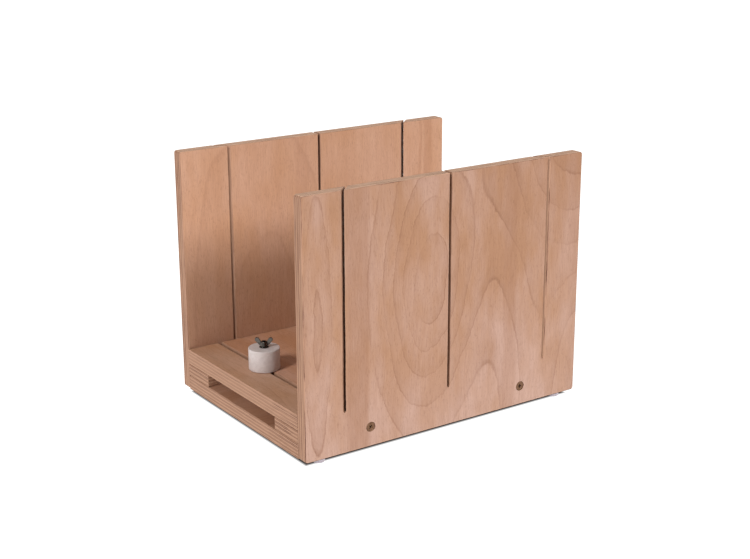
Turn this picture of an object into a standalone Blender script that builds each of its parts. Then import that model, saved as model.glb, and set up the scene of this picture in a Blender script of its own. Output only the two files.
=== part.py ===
"""Plywood mitre box with a sliding clamp stop.

Frame: metres, +Z up, origin on the bench surface under the middle of the box.
+X runs along the channel, away from the end that has the cross groove.
+Y runs from the front wall to the back wall.
"""

import math

import bmesh
import bpy
from mathutils import Matrix, Vector

# Boards
LENGTH = 0.312  # walls and base, along X
CHANNEL_WIDTH = 0.206  # between the walls' inner faces
WALL_HEIGHT = 0.240
WALL_THICK = 0.012
WALL_CORNER = 0.0025  # rounded corners of the walls
ARRIS = 0.0004  # eased edge around a wall's faces
PLATE_THICK = 0.015  # base plate and floor layer
RAIL_THICK = 0.012
RAIL_WIDTH = 0.040
GROOVE_FROM_END = 0.035  # centre line of the cross groove

# Saw slots. Each one is a blade plane through the middle of the box: its turn about Z
# from a square cut, the width of its cut, and how far below the floor it stops.
MITRE_KERF = 0.0025
SQUARE_KERF = 0.0029
SLOTS = {
    "slot_left_mitre": (math.radians(-45), MITRE_KERF, 0.0035),
    "slot_square": (0.0, SQUARE_KERF, 0.0055),
    "slot_right_mitre": (math.radians(45), MITRE_KERF, 0.0015),
}

# Countersunk wood screws, 4.5 mm
SCREW_HEAD_RADIUS = 0.0045
SCREW_SHANK_RADIUS = 0.0017
SCREW_HEAD_LAND = 0.0004
SCREW_SINK = 0.0003  # head below the board's surface
SCREW_TIP = 0.005
WALL_SCREW_LENGTH = 0.040
WALL_SCREW_FROM_END = 0.069
WALL_SCREW_IN_RAIL = 0.0035  # above the rail's underside
BASE_SCREW_LENGTH = 0.035
RECESS_SPAN = 0.0048
RECESS_WIDTH = 0.0011
RECESS_DEPTH = 0.0022
RECESS_TAPER = 0.45  # size of the recess's bottom against its mouth

# Feet
FOOT_RADIUS = 0.006
FOOT_TREAD_RADIUS = 0.0048
FOOT_HEIGHT = 0.005
FOOT_FROM_END = 0.0185
FOOT_FROM_FACE = 0.009

# Clamp stop on an M4 bolt
BOLT_RADIUS = 0.002
BOLT_LENGTH = 0.045
BOLT_HEAD_FLATS = 0.007
BOLT_HEAD_HEIGHT = 0.0028
BOLT_WASHER_RADIUS = 0.006
BOLT_WASHER_THICK = 0.0016
STOP_RADIUS = 0.015
STOP_HEIGHT = 0.021
STOP_EDGE = 0.0008  # rounded rims of the stop
STOP_Y = 0.014  # where the stop stands along the groove
NUT_WASHER_RADIUS = 0.0045
NUT_WASHER_THICK = 0.0008
NUT_HUB_RADIUS = 0.0040
NUT_HUB_TOP_RADIUS = 0.0033
NUT_HUB_HEIGHT = 0.0045
WING_SPAN = 0.0172
WING_HEIGHT = 0.0085
WING_TIP_RADIUS = 0.0022
WING_THICK = 0.0016
WING_TURN = math.radians(-36)

GAP = 0.0003  # between pieces that touch
ROUND_STEPS = 24
SCREW_STEPS = 16
STOP_STEPS = 56

# Heights and widths that follow
WIDTH = CHANNEL_WIDTH + 2 * WALL_THICK
BASE_Z = FOOT_HEIGHT
RAIL_Z = BASE_Z + PLATE_THICK
FLOOR_Z = RAIL_Z + RAIL_THICK
FLOOR_TOP = FLOOR_Z + PLATE_THICK
WALL_TOP = BASE_Z + WALL_HEIGHT
RAIL_Y = CHANNEL_WIDTH / 2 - RAIL_WIDTH / 2
GROOVE_X = GROOVE_FROM_END - LENGTH / 2
GROOVE_WIDTH = 2 * (BOLT_RADIUS + GAP)
STRIP_LENGTH = GROOVE_FROM_END - GROOVE_WIDTH / 2
WALL_SCREW_X = LENGTH / 2 - WALL_SCREW_FROM_END
BASE_SCREW_X = LENGTH / 2 - STRIP_LENGTH / 2


def clear_scene():
    for old in list(bpy.data.objects):
        bpy.data.objects.remove(old, do_unlink=True)


def make_material(name, colour, roughness, metallic=0.0):
    material = bpy.data.materials.new(name)
    material.use_nodes = True
    shader = material.node_tree.nodes["Principled BSDF"]
    shader.inputs["Base Color"].default_value = (*colour, 1.0)
    shader.inputs["Roughness"].default_value = roughness
    shader.inputs["Metallic"].default_value = metallic
    return material


def finish_mesh(name, mesh, material_of=None, smooth_angle=None):
    """Turn a bmesh into an object, with its faces pointing out."""
    bmesh.ops.recalc_face_normals(mesh, faces=mesh.faces)
    data = bpy.data.meshes.new(name)
    mesh.to_mesh(data)
    mesh.free()
    if smooth_angle is not None:
        data.shade_smooth()
        data.set_sharp_from_angle(angle=smooth_angle)
    piece = bpy.data.objects.new(name, data)
    bpy.context.collection.objects.link(piece)
    if material_of is not None:
        data.materials.append(material_of(name))
    return piece


def hide_tool(tool):
    tool.hide_render = True
    tool.display_type = "WIRE"
    return tool


def add_boolean(piece, tool, operation="DIFFERENCE"):
    modifier = piece.modifiers.new(tool.name, "BOOLEAN")
    modifier.object = tool
    modifier.operation = operation
    modifier.solver = "EXACT"


def box_mesh(low, high):
    mesh = bmesh.new()
    low = Vector(low)
    high = Vector(high)
    place = Matrix.Translation((low + high) / 2) @ Matrix.Diagonal((*(high - low), 1.0))
    bmesh.ops.create_cube(mesh, size=1.0, matrix=place)
    return mesh


def turned_mesh(outline, steps):
    """Spin (radius, height) points about Z. An outline that leaves the axis free makes a ring."""
    mesh = bmesh.new()
    points = [mesh.verts.new((radius, 0.0, height)) for radius, height in outline]
    lines = [mesh.edges.new(pair) for pair in zip(points, points[1:])]
    if min(radius for radius, height in outline) > 0:
        lines.append(mesh.edges.new((points[-1], points[0])))
    bmesh.ops.spin(mesh, geom=points + lines, cent=(0, 0, 0), axis=(0, 0, 1),
                   angle=2 * math.pi, steps=steps, use_merge=True)
    bmesh.ops.remove_doubles(mesh, verts=mesh.verts, dist=1e-6)
    return mesh


def rounded_corner(centre_radius, centre_height, radius, start, steps=4):
    """A quarter circle of outline points that begins at the angle start."""
    angles = [start + i * math.pi / 2 / steps for i in range(steps + 1)]
    return [(centre_radius + radius * math.cos(a), centre_height + radius * math.sin(a)) for a in angles]


# Boards

PLYWOOD = (0.48, 0.30, 0.20)


def plywood(name):
    return make_material(name + "_plywood", PLYWOOD, 0.62)


def board(name, low, high):
    return finish_mesh(name, box_mesh(low, high), plywood)


def slot_tool(name):
    """A blade-thin plate, as long as both walls need, that opens at the top."""
    turn, kerf, below_floor = SLOTS[name]
    reach = WIDTH
    mesh = box_mesh((-kerf / 2, -reach, FLOOR_TOP - below_floor), (kerf / 2, reach, WALL_TOP + kerf))
    tool = finish_mesh(name, mesh)
    tool.rotation_euler.z = turn
    return hide_tool(tool)


def wall(name, side, slots):
    """side is -1 for the front wall and 1 for the back wall."""
    inner = side * CHANNEL_WIDTH / 2
    outer = side * WIDTH / 2
    mesh = box_mesh((-LENGTH / 2, min(inner, outer), BASE_Z), (LENGTH / 2, max(inner, outer), WALL_TOP))
    corners = [e for e in mesh.edges if abs(e.verts[0].co.y - e.verts[1].co.y) > WALL_THICK / 2]
    bmesh.ops.bevel(mesh, geom=corners, offset=WALL_CORNER, segments=3, profile=0.5, affect="EDGES")
    mesh.normal_update()
    rims = {e for f in mesh.faces if abs(f.normal.y) > 0.9 for e in f.edges}
    bmesh.ops.bevel(mesh, geom=list(rims), offset=ARRIS, segments=1, affect="EDGES")
    piece = finish_mesh(name, mesh, plywood)
    for slot in slots:
        add_boolean(piece, slot)
    return piece


def base_boards():
    """The three layers: base plate, two rails with the tunnel between them, and the floor."""
    half = LENGTH / 2
    side = CHANNEL_WIDTH / 2 - GAP
    tunnel = CHANNEL_WIDTH / 2 - RAIL_WIDTH
    rail_top = FLOOR_Z - GAP
    return {
        "base_plate": board("base_plate", (-half, -side, BASE_Z), (half, side, RAIL_Z - GAP)),
        "rail_front": board("rail_front", (-half, -side, RAIL_Z), (half, -tunnel, rail_top)),
        "rail_back": board("rail_back", (-half, tunnel, RAIL_Z), (half, side, rail_top)),
        "floor_end_strip": board("floor_end_strip", (-half, -side, FLOOR_Z),
                                 (-half + STRIP_LENGTH, side, FLOOR_TOP)),
        "floor_plate": board("floor_plate", (GROOVE_X + GROOVE_WIDTH / 2, -side, FLOOR_Z),
                             (half, side, FLOOR_TOP)),
    }


# Screws

def yellow_zinc(name):
    return make_material(name + "_yellow_zinc", (0.45, 0.30, 0.14), 0.38, 1.0)


def screw_outline(length, grow=0.0):
    """Head at the top, tip down. grow turns the screw's outline into its hole's."""
    head = SCREW_HEAD_RADIUS + grow
    shank = SCREW_SHANK_RADIUS + grow
    land = -SCREW_SINK - SCREW_HEAD_LAND - grow
    cone_end = land - (head - shank)
    return [(0.0, -length - grow), (shank, -length + SCREW_TIP), (shank, cone_end), (head, land)]


def screw_mesh(length):
    outline = screw_outline(length) + [(SCREW_HEAD_RADIUS, -SCREW_SINK), (0.0, -SCREW_SINK)]
    return turned_mesh(outline, SCREW_STEPS)


def screw_hole_mesh(length):
    mouth = SCREW_HEAD_RADIUS + GAP
    outline = screw_outline(length, GAP) + [(mouth, SCREW_HEAD_RADIUS), (0.0, SCREW_HEAD_RADIUS)]
    return turned_mesh(outline, SCREW_STEPS)


def recess_mesh():
    """A tapered cross that cuts the driver recess."""
    arm = RECESS_SPAN / 2
    half = RECESS_WIDTH / 2
    quarter = [(arm, -half), (arm, half), (half, half)]
    mesh = bmesh.new()
    top = []
    bottom = []
    for turn in range(4):
        spin = Matrix.Rotation(turn * math.pi / 2, 3, "Z")
        for x, y in quarter:
            point = spin @ Vector((x, y, 0.0))
            top.append(mesh.verts.new((point.x, point.y, SCREW_SINK)))
            bottom.append(mesh.verts.new((point.x * RECESS_TAPER, point.y * RECESS_TAPER,
                                          -SCREW_SINK - RECESS_DEPTH)))
    mesh.faces.new(top)
    mesh.faces.new(list(reversed(bottom)))
    for i in range(len(top)):
        j = (i + 1) % len(top)
        mesh.faces.new((top[j], top[i], bottom[i], bottom[j]))
    return mesh


def place_along(piece, mouth, outward):
    """Stand a piece modelled along +Z at its hole's mouth, with +Z pointing out of the board."""
    turn = Vector((0, 0, 1)).rotation_difference(Vector(outward)).to_matrix().to_4x4()
    piece.matrix_world = Matrix.Translation(mouth) @ turn


def screw(name, length, mouth, outward, boards):
    """A wood screw, and its hole in each board that it passes."""
    piece = finish_mesh(name, screw_mesh(length), yellow_zinc, math.radians(35))
    recess = hide_tool(finish_mesh(name + "_recess", recess_mesh()))
    hole = hide_tool(finish_mesh(name + "_hole", screw_hole_mesh(length)))
    for item in (piece, recess, hole):
        place_along(item, mouth, outward)
    add_boolean(piece, recess)
    for passed in boards:
        add_boolean(passed, hole)


def all_screws(walls, boards):
    sides = {"front": -1, "back": 1}
    for side_name, side in sides.items():
        rail = boards["rail_" + side_name]
        for end_name, end in (("left", -1), ("right", 1)):
            mouth = (end * WALL_SCREW_X, side * WIDTH / 2, RAIL_Z + WALL_SCREW_IN_RAIL)
            screw(f"wall_screw_{side_name}_{end_name}", WALL_SCREW_LENGTH, mouth, (0, side, 0),
                  [walls[side_name], rail])
        for end_name, end in (("left", -1), ("middle", 0), ("right", 1)):
            floor = boards["floor_end_strip" if end_name == "left" else "floor_plate"]
            mouth = (end * BASE_SCREW_X, side * RAIL_Y, BASE_Z)
            screw(f"base_screw_{side_name}_{end_name}", BASE_SCREW_LENGTH, mouth, (0, 0, -1),
                  [boards["base_plate"], rail, floor])


# Feet

def bumper_rubber(name):
    return make_material(name + "_bumper", (0.78, 0.75, 0.74), 0.4)


def foot(name, x, y):
    top = FOOT_HEIGHT - GAP
    rim = FOOT_RADIUS - FOOT_TREAD_RADIUS
    tread = [(0.0, 0.0)] + rounded_corner(FOOT_TREAD_RADIUS, rim, rim, -math.pi / 2)
    outline = tread + [(FOOT_RADIUS, top), (0.0, top)]
    piece = finish_mesh(name, turned_mesh(outline, ROUND_STEPS), bumper_rubber, math.radians(35))
    piece.location = (x, y, 0.0)


def all_feet():
    x = LENGTH / 2 - FOOT_FROM_END
    y = WIDTH / 2 - FOOT_FROM_FACE
    for side_name, side in (("front", -1), ("back", 1)):
        for end_name, end in (("left", -1), ("right", 1)):
            foot(f"foot_{side_name}_{end_name}", end * x, side * y)


# Clamp stop. Heights are from the floor's top, where the clamp's empty stands.

def bright_zinc(name):
    return make_material(name + "_bright_zinc", (0.62, 0.62, 0.62), 0.3, 1.0)


def white_plastic(name):
    return make_material(name + "_plastic", (0.78, 0.72, 0.69), 0.45)


WASHER_TOP = -PLATE_THICK - GAP  # under the floor layer
HEAD_TOP = WASHER_TOP - BOLT_WASHER_THICK - GAP
STOP_TOP = GAP + STOP_HEIGHT
NUT_WASHER_FOOT = STOP_TOP + GAP
NUT_FOOT = NUT_WASHER_FOOT + NUT_WASHER_THICK + GAP
BORE_RADIUS = BOLT_RADIUS + GAP


def washer(name, foot_height, radius, thick):
    outline = [(BORE_RADIUS, foot_height), (radius, foot_height),
               (radius, foot_height + thick), (BORE_RADIUS, foot_height + thick)]
    return finish_mesh(name, turned_mesh(outline, ROUND_STEPS), bright_zinc, math.radians(35))


def clamp_bolt():
    corner = BOLT_HEAD_FLATS / 2 / math.cos(math.pi / 6)
    head = [(0.0, HEAD_TOP - BOLT_HEAD_HEIGHT), (corner, HEAD_TOP - BOLT_HEAD_HEIGHT),
            (corner, HEAD_TOP), (0.0, HEAD_TOP)]
    end = HEAD_TOP + BOLT_LENGTH
    chamfer = BOLT_RADIUS / 4
    inside_head = HEAD_TOP - BOLT_HEAD_HEIGHT / 2
    shank = [(0.0, inside_head), (BOLT_RADIUS, inside_head), (BOLT_RADIUS, end - chamfer),
             (BOLT_RADIUS - chamfer, end), (0.0, end)]
    bolt = finish_mesh("clamp_bolt", turned_mesh(head, 6), bright_zinc)
    tool = hide_tool(finish_mesh("clamp_bolt_shank", turned_mesh(shank, ROUND_STEPS)))
    add_boolean(bolt, tool, "UNION")
    return [bolt, tool]


def stop_block():
    rim = STOP_RADIUS - STOP_EDGE
    outline = [(BORE_RADIUS, STOP_TOP), (BORE_RADIUS, GAP)]
    outline += rounded_corner(rim, GAP + STOP_EDGE, STOP_EDGE, -math.pi / 2, 2)
    outline += rounded_corner(rim, STOP_TOP - STOP_EDGE, STOP_EDGE, 0.0, 2)
    return finish_mesh("stop_block", turned_mesh(outline, STOP_STEPS), white_plastic, math.radians(35))


def wings_mesh():
    """Two wings, each the hull of a round tip and a short root buried in the hub."""
    mesh = bmesh.new()
    root = (BORE_RADIUS + NUT_HUB_TOP_RADIUS) / 2
    tip_x = WING_SPAN / 2 - WING_TIP_RADIUS
    tip_z = NUT_FOOT + WING_HEIGHT - WING_TIP_RADIUS
    root_heights = (NUT_FOOT + NUT_HUB_HEIGHT * 0.15, NUT_FOOT + NUT_HUB_HEIGHT * 0.85)
    for side in (-1, 1):
        points = []
        for y in (-WING_THICK / 2, WING_THICK / 2):
            points += [mesh.verts.new((side * root, y, z)) for z in root_heights]
            for i in range(ROUND_STEPS // 2):
                angle = i * 4 * math.pi / ROUND_STEPS
                x = tip_x + WING_TIP_RADIUS * math.cos(angle)
                z = tip_z + WING_TIP_RADIUS * math.sin(angle)
                points.append(mesh.verts.new((side * x, y, z)))
        hull = bmesh.ops.convex_hull(mesh, input=points)
        bmesh.ops.delete(mesh, geom=[v for v in hull["geom_interior"] if v.is_valid], context="VERTS")
    return mesh


def wing_nut():
    outline = [(BORE_RADIUS, NUT_FOOT), (NUT_HUB_RADIUS, NUT_FOOT),
               (NUT_HUB_TOP_RADIUS, NUT_FOOT + NUT_HUB_HEIGHT), (BORE_RADIUS, NUT_FOOT + NUT_HUB_HEIGHT)]
    nut = finish_mesh("wing_nut", turned_mesh(outline, ROUND_STEPS), bright_zinc, math.radians(35))
    tool = hide_tool(finish_mesh("wing_nut_wings", wings_mesh()))
    add_boolean(nut, tool, "UNION")
    for item in (nut, tool):
        item.rotation_euler.z = WING_TURN
    return [nut, tool]


def clamp_stop():
    axis = bpy.data.objects.new("clamp_axis", None)
    axis.location = (GROOVE_X, STOP_Y, FLOOR_TOP)
    bpy.context.collection.objects.link(axis)
    pieces = clamp_bolt() + wing_nut()
    pieces.append(stop_block())
    pieces.append(washer("bolt_washer", WASHER_TOP - BOLT_WASHER_THICK, BOLT_WASHER_RADIUS,
                         BOLT_WASHER_THICK))
    pieces.append(washer("nut_washer", NUT_WASHER_FOOT, NUT_WASHER_RADIUS, NUT_WASHER_THICK))
    for piece in pieces:
        piece.parent = axis


def main():
    clear_scene()
    slots = [slot_tool(name) for name in SLOTS]
    walls = {"front": wall("front_wall", -1, slots), "back": wall("back_wall", 1, slots)}
    boards = base_boards()
    all_screws(walls, boards)
    all_feet()
    clamp_stop()
    bpy.context.view_layer.update()


main()
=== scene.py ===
import math
import random

import bpy
from mathutils import Matrix, Vector


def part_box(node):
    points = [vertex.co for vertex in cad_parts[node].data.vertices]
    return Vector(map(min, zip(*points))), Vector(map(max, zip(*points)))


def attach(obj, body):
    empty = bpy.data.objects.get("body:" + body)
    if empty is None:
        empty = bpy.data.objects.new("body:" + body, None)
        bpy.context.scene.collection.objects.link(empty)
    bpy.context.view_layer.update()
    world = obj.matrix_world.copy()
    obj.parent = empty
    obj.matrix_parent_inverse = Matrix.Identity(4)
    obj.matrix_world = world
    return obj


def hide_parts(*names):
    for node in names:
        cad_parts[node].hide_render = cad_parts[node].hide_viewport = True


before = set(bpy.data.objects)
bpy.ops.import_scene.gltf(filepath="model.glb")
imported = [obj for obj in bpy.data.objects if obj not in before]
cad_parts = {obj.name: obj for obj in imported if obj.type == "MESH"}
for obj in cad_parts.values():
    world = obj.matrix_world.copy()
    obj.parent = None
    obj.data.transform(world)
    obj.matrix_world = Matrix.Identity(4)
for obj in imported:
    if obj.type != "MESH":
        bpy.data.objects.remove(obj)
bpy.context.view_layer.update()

mm = 0.001


# general bench work

def leaveEditMode():
    if bpy.context.object and bpy.context.object.mode != "OBJECT":
        bpy.ops.object.mode_set(mode="OBJECT")


def pickOnly(piece):
    leaveEditMode()
    bpy.ops.object.select_all(action="DESELECT")
    piece.select_set(True)
    bpy.context.view_layer.objects.active = piece


def editAll(piece):
    pickOnly(piece)
    bpy.ops.object.mode_set(mode="EDIT")
    bpy.ops.mesh.select_mode(type="VERT")
    bpy.ops.mesh.select_all(action="SELECT")


def editEdges(piece, wanted):  # wanted is a test on an edge's two ends
    pickOnly(piece)
    bpy.ops.object.mode_set(mode="EDIT")
    bpy.ops.mesh.select_mode(type="EDGE")
    bpy.ops.mesh.select_all(action="DESELECT")
    bpy.ops.object.mode_set(mode="OBJECT")
    mesh = piece.data
    for edge in mesh.edges:
        a, b = (mesh.vertices[i].co for i in edge.vertices)
        edge.select = wanted(a, b)
    bpy.ops.object.mode_set(mode="EDIT")


def squeezeEnd(piece, below, centre, sizes):  # scales what lies below a height
    editEdges(piece, lambda a, b: a.z < below and b.z < below)
    bpy.ops.transform.resize(value=sizes, center_override=centre)
    leaveEditMode()


def placed(piece, matrix):  # moves a piece and puts the place into its mesh
    pickOnly(piece)
    piece.matrix_world = matrix
    bpy.ops.object.transform_apply(location=True, rotation=True, scale=True)
    return piece


def newPiece(name):  # names what a primitive has just added
    piece = bpy.context.object
    piece.name = name
    piece.data.name = name
    return placed(piece, piece.matrix_world.copy())


def boxPiece(name, low, high):
    leaveEditMode()
    bpy.ops.object.select_all(action="DESELECT")
    low, high = Vector(low), Vector(high)
    bpy.ops.mesh.primitive_cube_add(size=1, location=(low + high) / 2, scale=high - low)
    return newPiece(name)


def drawnLine(name, points):  # one vertex, extruded from point to point
    leaveEditMode()
    bpy.ops.object.select_all(action="DESELECT")
    bpy.ops.mesh.primitive_plane_add(size=mm, location=(0, 0, 0))
    piece = newPiece(name)
    editAll(piece)
    bpy.ops.mesh.merge(type="CENTER")
    bpy.ops.transform.translate(value=points[0])
    for start, end in zip(points, points[1:]):
        step = Vector(end) - Vector(start)
        bpy.ops.mesh.extrude_vertices_move(TRANSFORM_OT_translate={"value": step})
    return piece


def cleanMesh(piece):  # merges doubles and turns the faces outwards
    editAll(piece)
    bpy.ops.mesh.remove_doubles(threshold=0.002 * mm)
    bpy.ops.mesh.select_all(action="SELECT")
    bpy.ops.mesh.normals_make_consistent(inside=False)
    leaveEditMode()


def turnedPiece(name, outline, steps):  # spins (radius, height) points about Z
    piece = drawnLine(name, [(radius, 0, height) for radius, height in outline])
    bpy.ops.mesh.select_all(action="SELECT")
    bpy.ops.mesh.spin(steps=steps, angle=2 * math.pi, center=(0, 0, 0), axis=(0, 0, 1))
    cleanMesh(piece)
    return piece


def arc(centre, radius, start, end, steps=6):  # outline points, angles in degrees
    angles = [math.radians(start + (end - start) * i / steps) for i in range(steps + 1)]
    return [(centre[0] + radius * math.cos(a), centre[1] + radius * math.sin(a)) for a in angles]


def applied(piece, kind, **settings):
    pickOnly(piece)
    modifier = piece.modifiers.new(kind, kind)
    for name, value in settings.items():
        setattr(modifier, name, value)
    bpy.ops.object.modifier_apply(modifier=modifier.name)
    return piece


def worked(piece, tool, operation="DIFFERENCE"):  # cuts with a tool, or joins it on, and clears it away
    applied(piece, "BOOLEAN", object=tool, operation=operation, solver="EXACT")
    bpy.data.objects.remove(tool)
    return piece


def copied(piece, name):
    twin = piece.copy()
    twin.data = piece.data.copy()
    twin.name = name
    twin.data.name = name
    bpy.context.collection.objects.link(twin)
    return twin


def smoothed(piece, degrees=35):
    pickOnly(piece)
    bpy.ops.object.shade_smooth_by_angle(angle=math.radians(degrees))
    return piece


def dressed(piece, *materials):
    piece.data.materials.clear()
    for material in materials:
        piece.data.materials.append(material)
    return piece


def fitted(piece, body, slotName, *nodes):  # hangs a finished piece on its body and hides the CAD parts it stands for
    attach(piece, body)
    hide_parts(*nodes)
    return piece


def middleOf(node):
    low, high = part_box(node)
    return (Vector(low) + Vector(high)) / 2


# colours and nodes

def linear(hexColour):
    parts = [int(hexColour[i:i + 2], 16) / 255 for i in (1, 3, 5)]
    return (*[p / 12.92 if p <= 0.04045 else ((p + 0.055) / 1.055) ** 2.4 for p in parts], 1.0)


def addNode(tree, kind, inputs, out=0, stops=(), **settings):  # gives back one of the node's outputs
    node = tree.nodes.new("ShaderNode" + kind)
    for name, value in settings.items():
        setattr(node, name, value)
    for socket, value in inputs.items():
        if isinstance(value, bpy.types.NodeSocket):
            tree.links.new(value, node.inputs[socket])
        else:
            node.inputs[socket].default_value = value
    for i, (place, hexColour) in enumerate(stops):
        element = node.color_ramp.elements[i] if i < 2 else node.color_ramp.elements.new(place)
        element.position = place
        element.color = linear(hexColour)
    return node.outputs[out]


def newMaterial(name, **sockets):
    material = bpy.data.materials.new(name)
    material.use_nodes = True
    shader = material.node_tree.nodes["Principled BSDF"]
    for socket, value in sockets.items():
        shader.inputs[socket.replace("_", " ")].default_value = value
    return material, material.node_tree, shader


def wired(tree, shader, **links):
    for socket, value in links.items():
        tree.links.new(value, shader.inputs[socket.replace("_", " ")])


# Face veneer: beech, rotary cut and fine sanded. Peeling round the log gives nested arches and flames with
# one crisp edge each, over faint upright fibres, short brown ray flecks and pinkish and tan patches.

veneerLook = {
    "pink": "#D5AC97",
    "tan": "#C2906C",
    "shade": "#AE7C5C",
    "ring": "#916043",
    "fleck": "#82553B",
    # sizes in mm: across the grain, along it, and through the board where there is a third one
    "bend": (48, 80, 60),
    "jitter": (5, 7, 60),
    "jitterReach": (3.4, 7.0, 0),
    "hill": (60, 240, 70),
    "ringStretch": (40, 90, 45),
    "patch": (38, 110, 60),
    "streak": (6, 260, 30),
    "fibre": (0.8, 20, 2),  # real fibres are finer, this is what still shows
    "dash": (0.7, 3.4, 2),
    "ringStrength": (0.12, 0.6),  # faintest and strongest stretch of a ring
    "fibreStrength": 0.26,
    "dashStrength": 0.24,
    "streakStrength": 0.18,
}

# one ring from its line to the next: a sharp dark line, then a slow fade on one side
ringShape = [(0.0, "#000000"), (1.0, "#000000"), (0.03, "#FFFFFF"), (0.09, "#9C9C9C"), (0.40, "#5E5E5E")]
far = 1e6  # a size that switches a direction off


def veneerMaterial(name, axes, plan):
    look = veneerLook
    seed = plan["seed"]
    material, tree, shader = newMaterial(name, Roughness=0.58, Specular_IOR_Level=0.35)
    place = addNode(tree, "TexCoord", {}, out="Object")
    place = addNode(tree, "VectorMath", {0: place, "Scale": 1000.0}, operation="SCALE")  # millimetres
    parts = addNode(tree, "SeparateXYZ", {0: place}).node.outputs
    board = addNode(tree, "CombineXYZ", {i: parts[axis] for i, axis in enumerate(axes)})

    # slow drift that keeps every line from running true
    drift = addNode(tree, "Mapping", {0: board, 1: (seed, 0, 0), 3: look["bend"]}, vector_type="TEXTURE")
    drift = addNode(tree, "TexNoise", {"Vector": drift, "Scale": 1.0, "Detail": 4.0, "Roughness": 0.5},
                    out="Color")
    drift = addNode(tree, "VectorMath", {0: drift, 1: (0.5, 0.5, 0.5)}, operation="SUBTRACT")
    drift = addNode(tree, "VectorMath", {0: drift, 1: (*plan["drift"], 0)}, operation="MULTIPLY")
    warped = addNode(tree, "VectorMath", {0: board, 1: drift}, operation="ADD")
    wiggle = addNode(tree, "Mapping", {0: board, 3: look["jitter"]}, vector_type="TEXTURE")
    wiggle = addNode(tree, "TexNoise", {"Vector": wiggle, "Scale": 1.0, "Detail": 4.0, "Roughness": 0.68},
                     out="Color")
    wiggle = addNode(tree, "VectorMath", {0: wiggle, 1: (0.5, 0.5, 0.5)}, operation="SUBTRACT")
    wiggle = addNode(tree, "VectorMath", {0: wiggle, 1: look["jitterReach"]}, operation="MULTIPLY")
    wavy = addNode(tree, "VectorMath", {0: warped, 1: wiggle}, operation="ADD")

    # growth rings are level lines of a hilly surface, each arch one hill
    hills = addNode(tree, "Mapping", {0: wavy, 1: (0, seed, 0), 3: look["hill"]}, vector_type="TEXTURE")
    hills = addNode(tree, "TexNoise", {"Vector": hills, "Scale": 1.0, "Detail": 1.0})
    height = addNode(tree, "Math", {0: hills, 1: plan["ringsAcross"]}, operation="MULTIPLY")
    tones = []
    for across, along, width, length, rings, tone in plan["arches"]:
        away = addNode(tree, "Mapping", {0: wavy, 1: (across, along, 0), 3: (width, length, far)},
                       vector_type="TEXTURE")
        away = addNode(tree, "VectorMath", {0: away}, operation="LENGTH", out="Value")
        hill = addNode(tree, "Math", {0: away, 1: 2.0}, operation="POWER")
        hill = addNode(tree, "Math", {0: hill, 1: -1.0}, operation="MULTIPLY")
        hill = addNode(tree, "Math", {0: hill}, operation="EXPONENT")
        height = addNode(tree, "Math", {0: hill, 1: float(rings), 2: height}, operation="MULTIPLY_ADD")
        tones.append((hill, tone))
    ring = addNode(tree, "Math", {0: height}, operation="FRACT")
    ringLine = addNode(tree, "ValToRGB", {0: ring}, stops=ringShape)
    faint, strong = look["ringStrength"]
    strength = addNode(tree, "Mapping", {0: board, 1: (0, seed, seed), 3: look["ringStretch"]},
                       vector_type="TEXTURE")
    strength = addNode(tree, "TexNoise", {"Vector": strength, "Scale": 1.0, "Detail": 2.0})
    strength = addNode(tree, "MapRange", {0: strength, 1: 0.32, 2: 0.66, 3: faint, 4: strong})
    strength = addNode(tree, "Math", {0: strength, 1: plan["ringMark"]}, operation="MULTIPLY")
    ringAmount = addNode(tree, "Math", {0: ringLine, 1: strength}, operation="MULTIPLY")

    # pinkish and tan patches, then smooth darker stripes where they are planned
    patch = addNode(tree, "Mapping", {0: warped, 1: (seed, seed, 0), 3: look["patch"]},
                    vector_type="TEXTURE")
    patch = addNode(tree, "TexNoise", {"Vector": patch, "Scale": 1.0, "Detail": 3.0, "Roughness": 0.6})
    spread = plan["patches"] / 2
    patch = addNode(tree, "MapRange", {0: patch, 1: 0.36, 2: 0.64, 3: 0.5 - spread, 4: 0.5 + spread})
    pinkBelow, tanAbove = plan["fade"]
    # paler and pinker towards the bottom
    fade = addNode(tree, "MapRange", {0: parts[axes[1]], 1: pinkBelow, 2: tanAbove, 3: -0.45, 4: 0.2})
    patch = addNode(tree, "Math", {0: patch, 1: fade}, use_clamp=True)
    streak = addNode(tree, "Mapping", {0: warped, 1: (seed, 0, 0), 3: look["streak"]}, vector_type="TEXTURE")
    streak = addNode(tree, "TexNoise", {"Vector": streak, "Scale": 1.0, "Detail": 3.0, "Roughness": 0.6})
    streak = addNode(tree, "MapRange", {0: streak, 1: 0.35, 2: 0.7, 4: look["streakStrength"]})
    for hill, tone in tones:
        streak = addNode(tree, "Math", {0: hill, 1: tone, 2: streak}, operation="MULTIPLY_ADD",
                         use_clamp=True)
    for across, width, amount in plan["stripes"]:
        stripe = addNode(tree, "Mapping", {0: warped, 1: (across, 0, 0), 3: (width, far, far)},
                         vector_type="TEXTURE")
        stripe = addNode(tree, "VectorMath", {0: stripe}, operation="LENGTH", out="Value")
        stripe = addNode(tree, "MapRange", {0: stripe, 1: 0.6, 2: 1.1, 3: amount, 4: 0.0},
                         interpolation_type="SMOOTHSTEP")
        streak = addNode(tree, "Math", {0: streak, 1: stripe}, use_clamp=True)

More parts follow.
